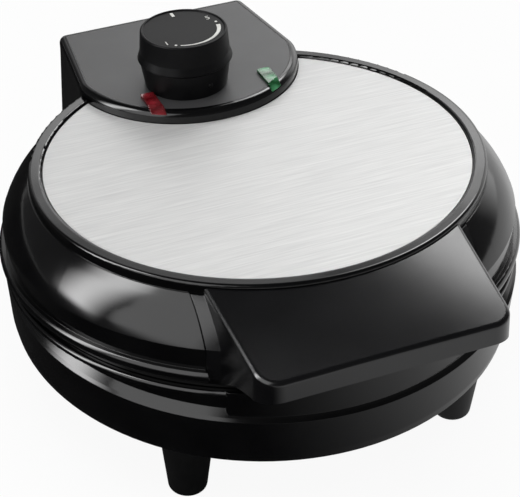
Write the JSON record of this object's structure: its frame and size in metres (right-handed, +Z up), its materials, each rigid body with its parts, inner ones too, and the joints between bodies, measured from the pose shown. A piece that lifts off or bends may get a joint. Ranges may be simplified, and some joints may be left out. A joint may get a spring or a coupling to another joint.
{
  "type": "heart waffle iron",
  "caption": "Round electric waffle iron on short legs with a hinged lid, heart-shaped moulds inside, a front lifting handle, a brushed top disc, a heat knob and pilot lights.",
  "frame": {"origin": "on the table, under the middle of the whole appliance", "axes": "+Z up, the handle points to -Y, the hinge and the rear housing are at +Y, +X to the right seen from the handle"},
  "size_m": [0.2272, 0.2728, 0.1308],
  "materials": {
    "black_gloss": "glossy moulded heat-resistant plastic",
    "knob_black": "glossy moulded plastic with satin sides",
    "black_satin": "satin moulded plastic",
    "grey_satin": "fine satin plate, dark grey",
    "soft_grey": "soft matt pad",
    "black_rubber": "matt flexible bush",
    "white_plastic": "matt heat-resistant plastic",
    "ceramic_white": "matt ceramic",
    "screw_steel": "zinc plated",
    "pin_steel": "turned",
    "heater_steel": "heat-darkened tube",
    "shield_alu": "pressed sheet",
    "nonstick": "die cast with dark non-stick coating",
    "brushed_disc": "brushed in one direction",
    "red_lens": "clear red moulded lens",
    "green_lens": "clear green moulded lens",
    "lamp_glass": "glow lamp",
    "white_ink": "printed white ink"
  },
  "bodies": {
    "base": {"base_shell": "black_gloss", "bottom_cover": "black_satin", "foot_pads": "soft_grey", "bottom_cover_screws": "screw_steel", "cord_gland": "black_rubber", "terminal_block": "white_plastic", "hinge_pins": "pin_steel", "lower_plate": "nonstick", "lower_heater": "heater_steel", "lower_heat_shield": "shield_alu", "lower_plate_screws": "screw_steel"},
    "lid": {"lid_shell": "black_gloss", "top_disc": "brushed_disc", "control_panel": "black_gloss", "panel_fascia": "grey_satin", "panel_screws": "screw_steel", "power_lens": "red_lens", "ready_lens": "green_lens", "pilot_lamps": "lamp_glass", "handle": "black_gloss", "handle_screws": "screw_steel", "upper_plate": "nonstick", "upper_heater": "heater_steel", "upper_heat_shield": "shield_alu", "upper_plate_screws": "screw_steel", "knob_collar": "black_gloss", "thermostat": "ceramic_white", "thermostat_bracket": "pin_steel"},
    "knob": {"knob": "knob_black", "thermostat_shaft": "pin_steel", "dial_marks": "white_ink"}
  },
  "joints": [
    {"name": "lid_hinge", "type": "hinge", "parent": "base", "child": "lid", "pos_m": [0, 0.11919, 0.0615], "axis": [-1, 0, 0], "range_deg": [0, 95]},
    {"name": "thermostat_knob", "type": "hinge", "parent": "lid", "child": "knob", "pos_m": [-0.007, 0.06811, 0.10273], "axis": [0, 0.0901, 0.9959], "range_deg": [-79, 46.5]}
  ]
}
